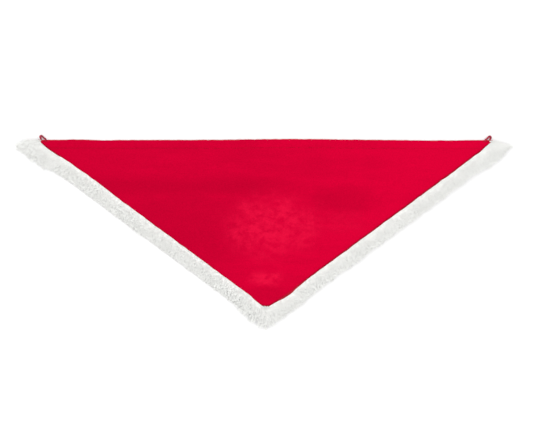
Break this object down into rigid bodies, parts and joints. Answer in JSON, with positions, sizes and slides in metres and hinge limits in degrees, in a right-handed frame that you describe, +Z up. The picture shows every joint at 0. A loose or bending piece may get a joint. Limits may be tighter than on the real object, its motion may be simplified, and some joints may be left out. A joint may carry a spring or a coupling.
{
  "type": "tree skirt",
  "caption": "Flat triangular velvet skirt with a plush border on its two sloping edges, a straight hemmed edge and a small cord loop at each top corner.",
  "frame": {"origin": "middle of the base of the whole part's box, on the face that it lies on", "axes": "+X along the straight top edge, +Y in the plane of the cloth from the lower point towards the straight edge, +Z up out of the velvet face"},
  "size_m": [0.9006, 0.3492, 0.0102],
  "materials": {
    "red_velvet": "short dense pile, brushed lighter and darker in patches, soft sheen",
    "red_lining": "thin plain weave, slight satin shine",
    "white_plush": "short curled pile in soft tufts, matte",
    "woven_tape": "narrow twill weave, matte",
    "red_cord": "twisted satin cord",
    "red_thread": "twisted sewing thread",
    "white_thread": "twisted sewing thread"
  },
  "bodies": {
    "skirt": {"velvet_face": "red_velvet", "back_lining": "red_lining", "fur_trim_left": "white_plush", "fur_trim_right": "white_plush", "stay_tape": "woven_tape", "loop_tails_left": "red_cord", "loop_tails_right": "red_cord", "loop_bartack_left": "red_thread", "loop_bartack_right": "red_thread", "band_topstitch": "red_thread", "top_seam_thread": "red_thread", "trim_seam_thread_left": "red_thread", "trim_seam_thread_right": "red_thread", "lining_seam_thread_left": "white_thread", "lining_seam_thread_right": "white_thread", "mitre_seam_thread": "white_thread"},
    "left_loop": {"tie_loop_left": "red_cord"},
    "right_loop": {"tie_loop_right": "red_cord"}
  },
  "joints": [
    {"name": "left_loop_bend", "type": "hinge", "parent": "skirt", "child": "left_loop", "pos_m": [-0.40651, 0.16753, 0.00155], "axis": [1, 0, 0], "range_deg": [-90, 90]},
    {"name": "right_loop_bend", "type": "hinge", "parent": "skirt", "child": "right_loop", "pos_m": [0.40651, 0.16753, 0.00155], "axis": [1, 0, 0], "range_deg": [-90, 90]}
  ]
}
